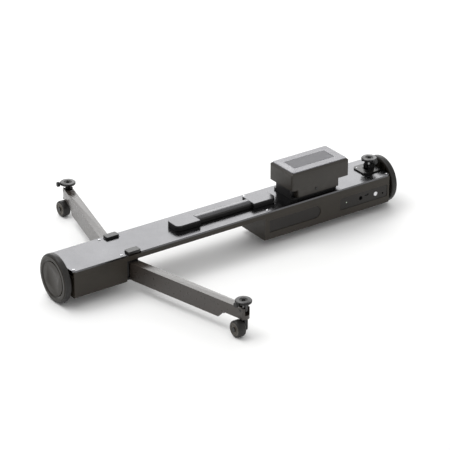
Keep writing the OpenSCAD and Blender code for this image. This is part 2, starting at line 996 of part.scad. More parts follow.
module deck_trunnion() {
    color("#8e8e90") at_deck_foot() trunnion();
}

// Cup for the tripod's spike, on two ears that straddle the cross block
module foot_cup(turn) {
    r = cup_d / 2;
    difference() {
        union() {
            rotate_extrude() polygon([
                [0, cup_low], [cup_neck, cup_low], [r, cup_low + cup_flare], [r, cup_h - cup_edge],
                [r - cup_edge, cup_h],
                [pad_r, cup_h], [pad_r, cup_low + cup_floor], [0, cup_low + cup_floor]
            ]);
            for (x = [-block_s - gap - ear_t, block_s + gap]) translate([x, 0, 0]) {
                rod_x(0, ear_t, ear_r);
                translate([0, -ear_r, 0]) cube([ear_t, 2 * ear_r, cup_low + 0.5]);
            }
        }
        rod_x(-20, 20, lean_pin_d / 2 + run);
        rotate([0, 0, turn]) screw_bore();
    }
}

// Hole for the thumb screw, from outside the cup to the spike's socket
module screw_bore() {
    translate([0, 0, screw_z]) rod_y(spike_d / 4, cup_d, screw_d / 2 + run);
}

module near_cup() {
    color("#151515") at_foot(-1) foot_cup(0);
}

module far_cup() {
    color("#151515") at_foot(1) foot_cup(0);
}

module deck_cup() {
    color("#151515") at_deck_foot() foot_cup(180);
}

// Rubber liner with the seat for the spike
module cup_pad(turn) {
    z0 = cup_low + cup_floor;
    z1 = z0 + pad_floor;
    difference() {
        rotate_extrude() polygon([
            [0, z0], [pad_r, z0], [pad_r, cup_h - pad_low], [pad_r - 1, cup_h - pad_low],
            [spike_d / 2, z1 + socket_h], [spike_d / 2, z1], [0, z1]
        ]);
        rotate([0, 0, turn]) screw_bore();
    }
}

module near_cup_pad() {
    color("#202020") at_foot(-1) cup_pad(0);
}

module far_cup_pad() {
    color("#202020") at_foot(1) cup_pad(0);
}

module deck_cup_pad() {
    color("#202020") at_deck_foot() cup_pad(180);
}

// Thumb screw that pinches the spike in the cup
module clamp_screw() {
    knob_in = cup_d / 2 + 1;
    translate([0, 0, screw_z]) difference() {
        union() {
            rod_y(spike_d / 2 + 0.6, knob_in + eps, screw_d / 2);
            rod_y(knob_in, knob_in + knob_l, knob_d / 2);
        }
        for (a = [0:45:315]) rotate([0, a, 0]) translate([knob_d / 2 + 0.6, 0, 0]) {
            rod_y(knob_in - 1, knob_in + knob_l + 1, knob_flute_r);
        }
    }
}

module near_clamp_screw() {
    color("#1c1c1c") at_foot(-1) clamp_screw();
}

module far_clamp_screw() {
    color("#1c1c1c") at_foot(1) clamp_screw();
}

module deck_clamp_screw() {
    color("#1c1c1c") at_deck_foot() rotate([0, 0, 180]) clamp_screw();
}

// Base on the deck with two cheeks for the third foot
module deck_foot_base() {
    color("#111111") at_deck_foot() difference() {
        union() {
            translate([foot_base_shift, 0, -deck_pivot]) linear_extrude(foot_base_t) {
                round_rect(foot_base_l, foot_base_w, foot_base_r);
            }
            for (y = [-arm_w / 2, fork_slot / 2]) {
                rod_y(y, y + arm_wall, cheek_r);
                translate([-cheek_r, y, -deck_pivot]) cube([2 * cheek_r, arm_wall, deck_pivot]);
            }
        }
        translate([-foot_base_slot / 2, -fork_slot / 2, -deck_pivot - 1])
            cube([foot_base_slot, fork_slot, foot_base_t + 2]);
        rod_y(-arm_w, arm_w, swing_pin_d / 2 + run);
        for (x = [-1, 1], y = [-1, 1]) {
            bolt_x = foot_base_shift + x * (foot_base_l / 2 - foot_base_bolt_in);
            translate([bolt_x, y * (foot_base_w / 2 - foot_base_bolt_in), -deck_pivot - 1])
                cylinder(h = foot_base_t + 2, r = foot_base_bolt_r);
        }
    }
}

// ---------- release buttons ----------

module release() {
    stem_z = arm_top + release_travel + 1;
    z0 = plate_z + release_travel + gap;
    translate([0, deck_w / 2 - release_w / 2, z0]) linear_extrude(deck_top + release_h - z0) {
        round_rect(release_l, release_w, release_r);
    }
    translate([0, stem_y, stem_z]) cylinder(h = z0 - stem_z + eps, r = stem_r);
}

module near_release() {
    color("#1d1c1b") translate([release_x, 0, 0]) mirror([0, 1, 0]) release();
}

module far_release() {
    color("#1d1c1b") translate([release_x, 0, 0]) release();
}

// ---------- carry handle ----------

// Section of the crowned grip, from a height above the deck upwards
module grip_section(w, low, shrink) {
    intersection() {
        translate([-w / 2, deck_top + low]) square([w, grip_h]);
        translate([0, deck_top + grip_h - crown_r]) circle(crown_r - shrink, $fn = 96);
    }
}

module handle_grip() {
    color("#0f0f0f") along_x(grip_x + gap, grip_x + grip_l - gap) difference() {
        grip_section(grip_w, gap, 0);
        difference() {
            translate([-inlay_w / 2, deck_top + gap]) square([inlay_w, grip_h]);
            translate([0, deck_top + grip_h - crown_r]) circle(crown_r - inlay_t, $fn = 96);
        }
    }
}

// Satin strip let into the crown of the grip
module handle_plate() {
    color("#96959a") along_x(grip_x + gap, grip_x + grip_l - gap) difference() {
        grip_section(inlay_w, gap, 0);
        translate([0, deck_top + grip_h - crown_r]) circle(crown_r - inlay_t, $fn = 96);
    }
}

module handle_posts() {
    color("#a9a9ab") for (x = post_at) translate([x, 0, deck_top + gap - post_l]) {
        cylinder(h = post_l, r = post_r);
        translate([0, 0, -post_head_t]) cylinder(h = post_head_t + eps, r = post_r + 2);
    }
}

// Places children at both end caps, with x running inwards from the cap's outer end
module at_caps() {
    translate([-handle_x, 0, deck_top]) children();
    translate([grip_x + grip_l + cap_l, 0, deck_top]) mirror([1, 0, 0]) children();
}

module cap_outline() {
    translate([cap_r, -cap_w / 2]) square([cap_l - cap_r, cap_w]);
    translate([0, -cap_w / 2 + cap_r]) square([cap_r + eps, cap_w - 2 * cap_r]);
    for (y = [-1, 1]) translate([cap_r, y * (cap_w / 2 - cap_r)]) circle(cap_r);
}

module handle_caps() {
    color("#141414") at_caps() linear_extrude(cap_h - cap_plate_t) cap_outline();
}

module cap_plates() {
    color("#8a898e") at_caps() translate([0, 0, cap_h - cap_plate_t]) linear_extrude(cap_plate_t) cap_outline();
}

// ---------- battery ----------

// Undercut rail section, narrower by the given clearance
module rail_section(shrink) {
    w = rail_w - 2 * shrink;
    lip = w / 2 + rail_lip;
    polygon([
        [-w / 2, 0], [-w / 2, rail_step], [-lip, rail_step + shrink], [-lip, rail_h - shrink],
        [lip, rail_h - shrink], [lip, rail_step + shrink], [w / 2, rail_step], [w / 2, 0]
    ]);
}

module battery_mount() {
    base_x = shoe_x - tower_t - gap;
    base_l = tower_t + shoe_l - 2;
    color("#101010") {
        translate([base_x + base_l / 2, 0, deck_top]) {
            linear_extrude(mount_base_t) round_rect(base_l, mount_base_w, 5);
        }
        translate([base_x, -tower_w / 2, deck_top + mount_base_t - eps])
            cube([tower_t, tower_w, batt_lift - mount_base_t - gap]);
        translate([0, 0, deck_top + mount_base_t - eps]) along_x(shoe_x, shoe_x + shoe_l - 8) rail_section(gap);
    }
}

// Wedges that slope the shoulders of the battery case
module shoulder_cuts(top) {
    side = shoulder * sqrt(2);
    for (y = [-1, 1]) {
        translate([batt_mid, y * batt_w / 2, top]) rotate([45, 0, 0])
            cube([batt_l + 2, side, side], center = true);
    }
    for (x = [-1, 1]) {
        translate([batt_mid + x * batt_l / 2, 0, top]) rotate([0, 45, 0])
            cube([side, batt_w + 2, side], center = true);
    }
}

module battery_case() {
    color("#54504b") difference() {
        union() {
            translate([batt_mid, 0, batt_z]) linear_extrude(batt_h - lid_t) round_rect(batt_l, batt_w, case_r);
            translate([shoe_x + shoe_l / 2, 0, shoe_z]) {
                linear_extrude(batt_z - shoe_z + eps) round_rect(shoe_l, shoe_w, 3);
            }
        }
        shoulder_cuts(batt_z + batt_h - lid_t);
        translate([0, 0, deck_top + mount_base_t]) along_x(shoe_x - 1, shoe_x + shoe_l + 1) rail_section(0);
        translate([latch_x, 0, shoe_z + latch_z])
            rod_y(-shoe_w / 2 - 1, -shoe_w / 2 + latch_bore_l, latch_r + gap);
    }
}

module battery_lid() {
    inset = shoulder + gap;
    color("#9c9ba1") translate([batt_mid, 0, batt_z + batt_h - lid_t]) difference() {
        linear_extrude(lid_t) round_rect(batt_l - 2 * inset, batt_w - 2 * inset, lid_r);
        translate([0, 0, lid_t - label_d]) linear_extrude(1) {
            round_rect(batt_l - 2 * (inset + label_inset), batt_w - 2 * (inset + label_inset), label_r);
        }
    }
}

module battery_button() {
    y0 = -shoe_w / 2 - latch_proud;
    color("#1a1a1a") translate([latch_x, 0, shoe_z + latch_z]) rod_y(y0, y0 + latch_l, latch_r);
}

// ---------- what is drawn ----------

deck_plate();
deck_channel();
deck_screws();
left_housing();
right_housing();
bottom_covers();
cover_screws();
port_panel();
port_sockets();
power_button();
side_window();
motor_mounts();
drive_bearings();
left_gearmotor();
left_shaft();
left_wheel();
left_tyre();
left_hub_cap();
right_gearmotor();
right_shaft();
right_wheel();
right_tyre();
right_hub_cap();
main_board();
hinge_bracket();
hinge_pins();
near_arm();
near_arm_root();
near_roller_bracket();
near_roller_hub();
near_roller_tyre();
near_trunnion();
near_cup();
near_cup_pad();
near_clamp_screw();
far_arm();
far_arm_root();
far_roller_bracket();
far_roller_hub();
far_roller_tyre();
far_trunnion();
far_cup();
far_cup_pad();
far_clamp_screw();
deck_foot_base();
deck_trunnion();
deck_cup();
deck_cup_pad();
deck_clamp_screw();
near_release();
far_release();
handle_grip();
handle_plate();
handle_posts();
handle_caps();
cap_plates();
battery_mount();
battery_case();
battery_lid();
battery_button();
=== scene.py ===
"""Looks of a motorised floor dolly for a camera tripod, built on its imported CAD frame.

Lengths are metres. Each visible CAD piece is copied, its corners are merged and its edges
rounded as the machinist, moulder or painter would leave them. What repeats (screw heads,
the ribs of the thumb screws, the port panel's lamp) is grown with Geometry Nodes. Every
finish is a node material sized in real millimetres.
"""
import json
import math

import bmesh
import bpy
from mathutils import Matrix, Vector


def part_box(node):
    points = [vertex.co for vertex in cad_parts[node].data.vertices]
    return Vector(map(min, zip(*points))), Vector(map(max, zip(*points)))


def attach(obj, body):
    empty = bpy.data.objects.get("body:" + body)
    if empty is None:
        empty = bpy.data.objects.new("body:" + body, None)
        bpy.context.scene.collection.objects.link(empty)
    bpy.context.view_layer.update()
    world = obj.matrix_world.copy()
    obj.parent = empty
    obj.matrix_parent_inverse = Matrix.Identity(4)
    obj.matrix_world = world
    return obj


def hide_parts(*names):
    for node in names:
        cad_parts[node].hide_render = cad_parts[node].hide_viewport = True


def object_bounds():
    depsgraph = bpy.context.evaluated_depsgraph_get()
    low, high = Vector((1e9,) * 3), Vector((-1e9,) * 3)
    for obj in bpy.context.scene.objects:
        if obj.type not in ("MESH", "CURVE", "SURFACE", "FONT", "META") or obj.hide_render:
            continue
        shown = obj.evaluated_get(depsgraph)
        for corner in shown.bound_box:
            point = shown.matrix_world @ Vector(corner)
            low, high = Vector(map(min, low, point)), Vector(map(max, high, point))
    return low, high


MM = 0.001
SHARP = math.radians(32)        # corners that bend more than this are edges
FLAT = math.radians(0.6)        # triangles that bend less than this are one face
SAME_POINT = 0.004 * MM

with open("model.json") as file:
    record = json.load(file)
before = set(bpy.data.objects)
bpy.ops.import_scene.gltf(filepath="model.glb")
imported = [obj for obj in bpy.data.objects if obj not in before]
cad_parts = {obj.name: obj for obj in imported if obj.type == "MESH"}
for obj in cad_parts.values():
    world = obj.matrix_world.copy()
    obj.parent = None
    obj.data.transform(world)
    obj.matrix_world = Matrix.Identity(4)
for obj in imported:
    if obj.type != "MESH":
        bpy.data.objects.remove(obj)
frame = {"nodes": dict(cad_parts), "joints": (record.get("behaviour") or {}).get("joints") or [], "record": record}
cad_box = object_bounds()
record = frame["record"]
slot_of = {part["node"]: part["material_slot"] for part in record["subparts"]}
body_of = {node: body for body, nodes in record["behaviour"]["bodies"].items() for node in nodes}
joint_of = {joint["name"]: joint for joint in frame["joints"]}


# ---------------------------------------------------------------- materials

NOISE_LOW, NOISE_HIGH = 0.25, 0.75    # the values of a noise mostly lie between these
DUST = "#5d5a55"


def linear(hex_colour):
    """sRGB hex to the linear colour that a shader takes"""
    channels = [int(hex_colour[i:i + 2], 16) / 255 for i in (1, 3, 5)]
    return [c / 12.92 if c <= 0.04045 else ((c + 0.055) / 1.055) ** 2.4 for c in channels] + [1.0]


def tinted(hex_colour, gain):
    """The same hue, lighter or darker by a gain on the sRGB values"""
    channels = [min(255, round(int(hex_colour[i:i + 2], 16) * gain)) for i in (1, 3, 5)]
    return "#%02x%02x%02x" % tuple(channels)


def per_metre(size_mm):
    """Noise scale on Object coordinates for features of this size"""
    return 1000.0 / size_mm


def add(tree, kind, links=None, **settings):
    """Adds a node. Settings are its properties; links give its inputs a value or a node's socket."""
    made = tree.nodes.new(kind)
    for key, value in settings.items():
        setattr(made, key, value)
    for key, value in (links or {}).items():
        socket = made.inputs[key]
        if isinstance(value, bpy.types.NodeSocket):
            tree.links.new(value, socket)
        else:
            socket.default_value = value
    return made


class Finish:
    """A material under construction, on the piece's Object coordinates"""

    def __init__(self, name, **shader_values):
        self.material = bpy.data.materials.new(name)
        self.material.use_nodes = True
        self.tree = self.material.node_tree
        self.tree.nodes.clear()
        self.shader_values = shader_values
        self.place = add(self.tree, "ShaderNodeTexCoord").outputs["Object"]

    def patches(self, size_mm, low, high, detail=3.0):
        """A value that wanders from low to high over patches of this size"""
        noise = add(self.tree, "ShaderNodeTexNoise",
                    {"Vector": self.place, "Scale": per_metre(size_mm), "Detail": detail})
        return add(self.tree, "ShaderNodeMapRange",
                   {"Value": noise.outputs["Fac"], "From Min": NOISE_LOW, "From Max": NOISE_HIGH,
                    "To Min": low, "To Max": high}).outputs["Result"]

    def mottled(self, first, second, size_mm, detail=3.0, reach=1.0):
        """A colour that drifts towards a second one over patches of this size, by reach at most"""
        drift = self.patches(size_mm, 0.0, reach, detail)
        return add(self.tree, "ShaderNodeMix",
                   {"Factor": drift, 6: linear(first), 7: linear(second)}, data_type="RGBA").outputs[2]

    def rubbed(self, base, bare, radius_mm, reach):
        """Bares a second colour along edges, broken up so that the wear isn't a drawn line"""
        soft = add(self.tree, "ShaderNodeBevel", {"Radius": radius_mm * MM}, samples=4).outputs["Normal"]
        flat = add(self.tree, "ShaderNodeNewGeometry").outputs["Normal"]
        along = add(self.tree, "ShaderNodeVectorMath", {0: soft, 1: flat}, operation="DOT_PRODUCT")
        bent = add(self.tree, "ShaderNodeMapRange",
                   {"Value": along.outputs["Value"], "From Min": 0.995, "From Max": 0.85,
                    "To Min": 0.0, "To Max": reach})
        wear = add(self.tree, "ShaderNodeMath",
                   {0: bent.outputs["Result"], 1: self.patches(14, 0.35, 1.0, 4)}, operation="MULTIPLY")
        return add(self.tree, "ShaderNodeMix",
                   {"Factor": wear.outputs["Value"], 6: base, 7: linear(bare)}, data_type="RGBA").outputs[2]

    def drawn_lines(self, size_mm, stretch, low, high):
        """Fine lines along one axis: their height, and the roughness from low to high they give"""
        place = add(self.tree, "ShaderNodeMapping", {"Vector": self.place, "Scale": stretch})
        lines = add(self.tree, "ShaderNodeTexNoise",
                    {"Vector": place.outputs["Vector"], "Scale": per_metre(size_mm),
                     "Detail": 2}).outputs["Fac"]
        rough = add(self.tree, "ShaderNodeMapRange",
                    {"Value": lines, "From Min": NOISE_LOW, "From Max": NOISE_HIGH,
                     "To Min": low, "To Max": high})
        return lines, rough.outputs["Result"]

    def surface(self, base, roughness, *layers):
        """Shades the base colour, with layers stacked into one bump. A layer is a height and a depth
        in mm; the height is a node's socket, or a grain's (size in mm, detail)."""
        values = {**self.shader_values, "Base Color": base, "Roughness": roughness}
        for height, depth_mm in layers:
            if isinstance(height, tuple):
                grain_mm, detail = height
                height = add(self.tree, "ShaderNodeTexNoise",
                             {"Vector": self.place, "Scale": per_metre(grain_mm),
                              "Detail": detail}).outputs["Fac"]
            bump = {"Height": height, "Distance": depth_mm * MM, "Strength": 1.0}
            if "Normal" in values:
                bump["Normal"] = values["Normal"]
            values["Normal"] = add(self.tree, "ShaderNodeBump", bump).outputs["Normal"]
        shader = add(self.tree, "ShaderNodeBsdfPrincipled", values)
        add(self.tree, "ShaderNodeOutputMaterial", {"Surface": shader.outputs["BSDF"]})
        return self.material


def anodised_aluminium(name, colour, worn, roughness, blast_mm=1.6, depth_mm=0.010):
    """Bead-blasted, then anodised: an even metallic skin with a fine pebble, a slow drift of the dye,
    and paler metal where the edges are handled. Real blasting is near 0.15 mm, drawn coarser to show."""
    skin = Finish(name, Metallic=1.0)
    dyed = skin.mottled(colour, tinted(colour, 1.10), 55, 2)
    base = skin.rubbed(dyed, worn, 0.7, 0.85)
    rough = skin.patches(5, roughness - 0.035, roughness + 0.045, 4)
    return skin.surface(base, rough, ((blast_mm, 2), depth_mm), ((120, 1), 0.05))


def powder_coat(name, colour, roughness, peel_mm=2.2, depth_mm=0.022, specular=0.5, lacquer=0.0):
    """Sprayed as powder and baked: a soft orange peel, thinner and paler along sharp edges."""
    skin = Finish(name, **{"Specular IOR Level": specular, "IOR": 1.5,
                           "Coat Weight": lacquer, "Coat Roughness": 0.18})
    paint = skin.mottled(tinted(colour, 0.94), tinted(colour, 1.07), 35)
    base = skin.rubbed(paint, tinted(colour, 1.75), 0.8, 0.6)
    rough = skin.patches(7, roughness - 0.05, roughness + 0.06)
    return skin.surface(base, rough, ((peel_mm, 2), depth_mm))


def moulded_plastic(name, colour, roughness, grain_mm=1.1, depth_mm=0.02):
    """Injection moulded in a spark-eroded tool: a fine even grain, rubbed smoother where touched."""
    skin = Finish(name, IOR=1.49)
    cells = add(skin.tree, "ShaderNodeTexVoronoi",
                {"Vector": skin.place, "Scale": per_metre(grain_mm), "Randomness": 1.0}).outputs["Distance"]
    pigment = skin.mottled(tinted(colour, 0.92), tinted(colour, 1.10), 22)
    base = skin.rubbed(pigment, tinted(colour, 1.6), 0.6, 0.5)
    rough = skin.patches(9, roughness - 0.06, roughness + 0.06)
    return skin.surface(base, rough, (cells, depth_mm), ((0.6, 1), depth_mm * 0.5))


def moulded_rubber(name, colour, roughness, grain_mm=0.9, dust=0.25):
    """Press-moulded rubber: matt, faintly pitted, with floor dust greying it in patches."""
    skin = Finish(name, **{"IOR": 1.52, "Specular IOR Level": 0.35})
    base = skin.mottled(colour, DUST, 12, 4, reach=dust)
    rough = skin.patches(4, roughness - 0.08, roughness + 0.08)
    return skin.surface(base, rough, ((grain_mm, 3), 0.03))


def machined_steel(name, colour, roughness, line_mm=0.5, turned=(1.0, 1.0, 1.0)):
    """Turned or ground bright: fine tool lines that stretch the highlight, and a trace of oil film."""
    skin = Finish(name, Metallic=1.0)
    lines, rough = skin.drawn_lines(line_mm, turned, roughness - 0.06, roughness + 0.08)
    base = skin.mottled(colour, tinted(colour, 0.86), 6, 2)
    return skin.surface(base, rough, (lines, 0.006))


def gloss_acrylic(name, colour, roughness):
    """Cast sheet over dark backing: deep gloss with hairline wiping scratches."""
    skin = Finish(name, **{"IOR": 1.49, "Specular IOR Level": 0.3})
    scratches, rough = skin.drawn_lines(1.2, (0.08, 1.0, 1.0), roughness - 0.03, roughness + 0.08)
    base = skin.mottled(colour, tinted(colour, 1.14), 25, 2)
    return skin.surface(base, rough, (scratches, 0.003))


def solder_mask(name):
    """Green lacquer over copper: raised tracks show through in a running pattern of 10 mm blocks."""
    skin = Finish(name, IOR=1.5)
    tracks = add(skin.tree, "ShaderNodeTexBrick",
                 {"Vector": skin.place, "Scale": per_metre(10), "Mortar Size": 0.04, "Mortar Smooth": 0.2})
    base = add(skin.tree, "ShaderNodeMix",
               {"Factor": tracks.outputs["Fac"], 6: linear("#174a2c"), 7: linear("#2f7a4a")},
               data_type="RGBA").outputs[2]
    return skin.surface(base, 0.35, (tracks.outputs["Fac"], 0.04), ((3, 2), 0.01))


def lamp_lens(name, colour, glow):
    """Clear moulded lens over a small lamp, softly lit"""
    skin = Finish(name, **{"IOR": 1.49, "Emission Color": linear(colour), "Emission Strength": glow})
    base = skin.mottled(colour, tinted(colour, 0.9), 2, 2)
    return skin.surface(base, 0.2, ((1.5, 1), 0.01))


finishes = {
    "deck_metal": anodised_aluminium("anodised_aluminium_deck", "#5b5b5d", "#6e6d70", 0.2),
    "housing_metal": powder_coat("powder_coated_aluminium_bronze", "#2e2923", 0.42, specular=0.28),
    "arm_metal": powder_coat("powder_coated_aluminium_arm", "#322d28", 0.3, peel_mm=1.8,
                             specular=0.4, lacquer=0.45),
    "cover_metal": powder_coat("powder_coated_sheet_cover", "#25211e", 0.5, specular=0.3),
    "bright_steel": machined_steel("turned_stainless_steel", "#d4d4d6", 0.2),
    "black_steel": powder_coat("black_oxide_steel", "#141313", 0.36, peel_mm=1.0, depth_mm=0.008,
                               specular=0.4),
    "ground_steel": machined_steel("ground_steel_shaft", "#c6c6c8", 0.18, turned=(1.0, 1.0, 0.05)),
    "panel_gloss": gloss_acrylic("smoked_acrylic_panel", "#1a1714", 0.2),
    "socket_plastic": moulded_plastic("moulded_nylon_socket", "#0d0d0d", 0.45),
    "button_metal": machined_steel("turned_aluminium_button", "#d9d9dc", 0.24, line_mm=0.7),
    "mount_aluminium": anodised_aluminium("milled_aluminium_mount", "#b5b5b8", "#dedee0", 0.32),
    "motor_steel": machined_steel("zinc_plated_steel", "#b4b5b2", 0.3, line_mm=1.5),
    "wheel_metal": powder_coat("satin_painted_wheel", "#272420", 0.3, peel_mm=2.5, depth_mm=0.012,
                               specular=0.22),
    "tyre_rubber": moulded_rubber("moulded_polyurethane_tyre", "#141312", 0.46, dust=0.12),
    "hub_cap_metal": powder_coat("satin_painted_hub_cap", "#28241f", 0.36, peel_mm=2.0,
                                 depth_mm=0.012, specular=0.22),
    "circuit_board": solder_mask("solder_mask_on_glass_epoxy"),
    "black_metal": powder_coat("black_anodised_casting", "#0e0d0d", 0.3, peel_mm=1.2,
                               depth_mm=0.012, specular=0.35),
    "roller_plastic": moulded_plastic("moulded_acetal_roller", "#47423b", 0.4),
    "pad_rubber": moulded_rubber("moulded_rubber_cup_liner", "#151514", 0.6, dust=0.1),
    "knob_plastic": moulded_plastic("moulded_nylon_knob", "#0f0f0f", 0.4),
    "release_plastic": moulded_plastic("moulded_abs_release_key", "#131211", 0.34),
    "grip_rubber": moulded_rubber("overmoulded_soft_grip", "#0b0b0b", 0.45, grain_mm=1.2, dust=0.05),
    "handle_metal": anodised_aluminium("anodised_aluminium_handle", "#5c5c5e", "#8c8b8e", 0.22),
    "cap_plastic": moulded_plastic("moulded_abs_end_cap", "#0a0a0a", 0.34),
    "mount_plastic": moulded_plastic("moulded_abs_battery_plate", "#0b0a0a", 0.42),
    "battery_plastic": moulded_plastic("moulded_abs_battery_case", "#2b2722", 0.45, grain_mm=1.3),
    "battery_lid_plastic": moulded_plastic("moulded_abs_battery_lid", "#66656a", 0.28,
                                           grain_mm=1.3, depth_mm=0.012),
}
label_film = gloss_acrylic("matt_polycarbonate_label_film", "#35343a", 0.34)


# ---------------------------------------------------------------- CAD pieces

def rounded(node, edge_mm):
    """Copy of a CAD piece with its corners merged, its flats made whole and its edges rounded"""
    mesh = frame["nodes"][node].data.copy()
    mesh.name = node + "_piece"
    shape = bmesh.new()
    shape.from_mesh(mesh)
    bmesh.ops.remove_doubles(shape, verts=shape.verts, dist=SAME_POINT)
    bmesh.ops.dissolve_limit(shape, angle_limit=FLAT, verts=shape.verts, edges=shape.edges)
    shape.to_mesh(mesh)
    shape.free()
    # The feet's cross blocks are blacked like the rest of the foot
    slot = "black_steel" if node.endswith("_trunnion") else slot_of[node]
    finished(mesh, slot)
    piece = bpy.data.objects.new(node + "_piece", mesh)
    bpy.context.collection.objects.link(piece)
    edge = piece.modifiers.new("rounded_edge", "BEVEL")
    edge.width = edge_mm * MM
    edge.segments = 2
    edge.limit_method = "ANGLE"
    edge.angle_limit = SHARP
    edge.use_clamp_overlap = True
    edge.harden_normals = True
    fitted(piece, body_of[node], slot, node)


def finished(mesh, slot):
    """Gives a mesh one finish, and smooth curves between its sharp edges"""
    mesh.materials.clear()
    mesh.materials.append(finishes[slot])
    mesh.polygons.foreach_set("material_index", [0] * len(mesh.polygons))
    mesh.shade_smooth()
    mesh.set_sharp_from_angle(angle=SHARP)


def fitted(piece, body, slot, *nodes):
    """Hangs a finished piece on its body and hides the CAD pieces it stands for; the slot is not used"""
    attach(piece, body)
    if nodes:
        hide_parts(*nodes)


# How far each maker's edge is rounded, in millimetres
edge_of = {
    "deck_plate": 0.7, "deck_channel": 0.5, "left_housing": 0.8, "right_housing": 0.6, "bottom_covers": 0.4,
    "port_panel": 0.3, "port_sockets": 0.2, "power_button": 0.6, "side_window": 0.5,
    "left_wheel": 0.7, "right_wheel": 0.7, "left_tyre": 0.5, "right_tyre": 0.5,
    "left_hub_cap": 0.3, "right_hub_cap": 0.3, "hinge_bracket": 0.5, "hinge_pins": 0.4,
    "near_arm": 0.8, "far_arm": 0.8, "near_arm_root": 0.8, "far_arm_root": 0.8,
    "near_roller_bracket": 0.5, "far_roller_bracket": 0.5, "near_roller_hub": 0.3, "far_roller_hub": 0.3,
    "near_roller_tyre": 0.4, "far_roller_tyre": 0.4, "near_trunnion": 0.4, "far_trunnion": 0.4,
    "deck_trunnion": 0.4, "near_cup": 0.4, "far_cup": 0.4, "deck_cup": 0.4,
    "near_cup_pad": 0.3, "far_cup_pad": 0.3, "deck_cup_pad": 0.3, "deck_foot_base": 0.5,
    "near_release": 0.8, "far_release": 0.8, "handle_grip": 0.9, "handle_plate": 0.4, "handle_posts": 0.3,
    "handle_caps": 0.8, "cap_plates": 0.9, "battery_mount": 0.7, "battery_case": 1.0, "battery_lid": 0.5,
    "battery_button": 0.5, "drive_bearings": 0.5,
}
for node, edge_mm in edge_of.items():
    rounded(node, edge_mm)


TOUCHING = 1e-7
RIM_SHARE = 0.4     # how much of a plate's thickness its bevel takes


def flat_plate(name, outline, low_z, high_z, material):
    """Closed plate over a convex outline of (x, y) points, with its top rim bevelled"""
    shape = bmesh.new()
    ring = [shape.verts.new((x, y, low_z)) for x, y in outline]
    base = shape.faces.new(ring)
    lifted = bmesh.ops.extrude_face_region(shape, geom=[base])["geom"]
    top = [v for v in lifted if isinstance(v, bmesh.types.BMVert)]
    bmesh.ops.translate(shape, verts=top, vec=(0, 0, high_z - low_z))
    rim = [e for e in shape.edges if all(abs(v.co.z - high_z) < TOUCHING for v in e.verts)]
    bmesh.ops.bevel(shape, geom=rim, offset=(high_z - low_z) * RIM_SHARE, segments=2, affect="EDGES")
    bmesh.ops.recalc_face_normals(shape, faces=shape.faces)
    mesh = bpy.data.meshes.new(name)
    shape.to_mesh(mesh)
    shape.free()
    mesh.materials.append(material)
    mesh.shade_smooth()
    mesh.set_sharp_from_angle(angle=SHARP)
    plate = bpy.data.objects.new(name, mesh)
    bpy.context.collection.objects.link(plate)
    return plate


def round_outline(low, high, radius, steps=8):
    """Corners of a rectangle in X and Y, each turned in a quarter circle"""
    points = []
    corners = ((high.x, high.y, 0), (low.x, high.y, 90), (low.x, low.y, 180), (high.x, low.y, 270))
    for cx, cy, start in corners:
        middle_x = cx - radius if cx == high.x else cx + radius
        middle_y = cy - radius if cy == high.y else cy + radius
        for step in range(steps + 1):
            angle = math.radians(start + 90 * step / steps)
            points.append((middle_x + radius * math.cos(angle), middle_y + radius * math.sin(angle)))
    return points


# Blank rating label that lies in the lid's recess
LABEL_INSET = 18.4 * MM
LABEL_CORNER = 2.6 * MM
LABEL_UNDER, LABEL_TOP = 0.62 * MM, 0.25 * MM    # both below the lid's top

low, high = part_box("battery_lid")
inset = Vector((LABEL_INSET, LABEL_INSET, 0))
label = flat_plate("battery_label", round_outline(low + inset, high - inset, LABEL_CORNER),
                   high.z - LABEL_UNDER, high.z - LABEL_TOP, label_film)
fitted(label, "battery", "panel_gloss")

# Pieces inside the housings keep their CAD mesh and get their finish
hidden = ("motor_mounts", "left_gearmotor", "right_gearmotor", "left_shaft", "right_shaft", "main_board")
for node in hidden:
    piece = frame["nodes"][node]
    piece.data.materials.clear()
    piece.data.materials.append(finishes[slot_of[node]])


# ---------------------------------------------------------------- what repeats

def new_tree(name, **inputs):
    """A Geometry Nodes tree with a geometry in, a geometry out and named sizes"""
    tree = bpy.data.node_groups.new(name, "GeometryNodeTree")
    tree.interface.new_socket("Geometry", in_out="OUTPUT", socket_type="NodeSocketGeometry")
    tree.interface.new_socket("Geometry", in_out="INPUT", socket_type="NodeSocketGeometry")
    for label, kind in inputs.items():
        tree.interface.new_socket(label.replace("_", " "), in_out="INPUT", socket_type="NodeSocket" + kind)
    return tree, add(tree, "NodeGroupInput"), add(tree, "NodeGroupOutput")


def grown(name, tree, points, values, body, slot, *nodes):
    """Runs a tree on a mesh of points, keeps the result as a plain mesh and hangs it on its body"""
    seed = bpy.data.meshes.new(name + "_seed")
    seed.from_pydata([tuple(p) for p in points], [], [])
    grower = bpy.data.objects.new(name + "_seed", seed)
    bpy.context.collection.objects.link(grower)
    modifier = grower.modifiers.new("grow", "NODES")
    modifier.node_group = tree
    sockets = [item for item in tree.interface.items_tree if item.in_out == "INPUT"]
    identifiers = {item.name: item.identifier for item in sockets}
    for label, value in values.items():
        modifier[identifiers[label]] = value
    bpy.context.view_layer.update()
    evaluated = grower.evaluated_get(bpy.context.evaluated_depsgraph_get())
    mesh = bpy.data.meshes.new_from_object(evaluated)
    grower.modifiers.remove(modifier)
    bpy.data.objects.remove(grower)
    mesh.name = name
    finished(mesh, slot)
    piece = bpy.data.objects.new(name, mesh)
    bpy.context.collection.objects.link(piece)
    fitted(piece, body, slot, *nodes)
    return piece


def close_tree(tree, output, geometry, slot):
    """Ends a tree in real geometry with its finish set"""
    real = add(tree, "GeometryNodeRealizeInstances", {"Geometry": geometry}).outputs["Geometry"]
    painted = add(tree, "GeometryNodeSetMaterial", {"Geometry": real, "Material": finishes[slot]})
    tree.links.new(painted.outputs["Geometry"], output.inputs["Geometry"])


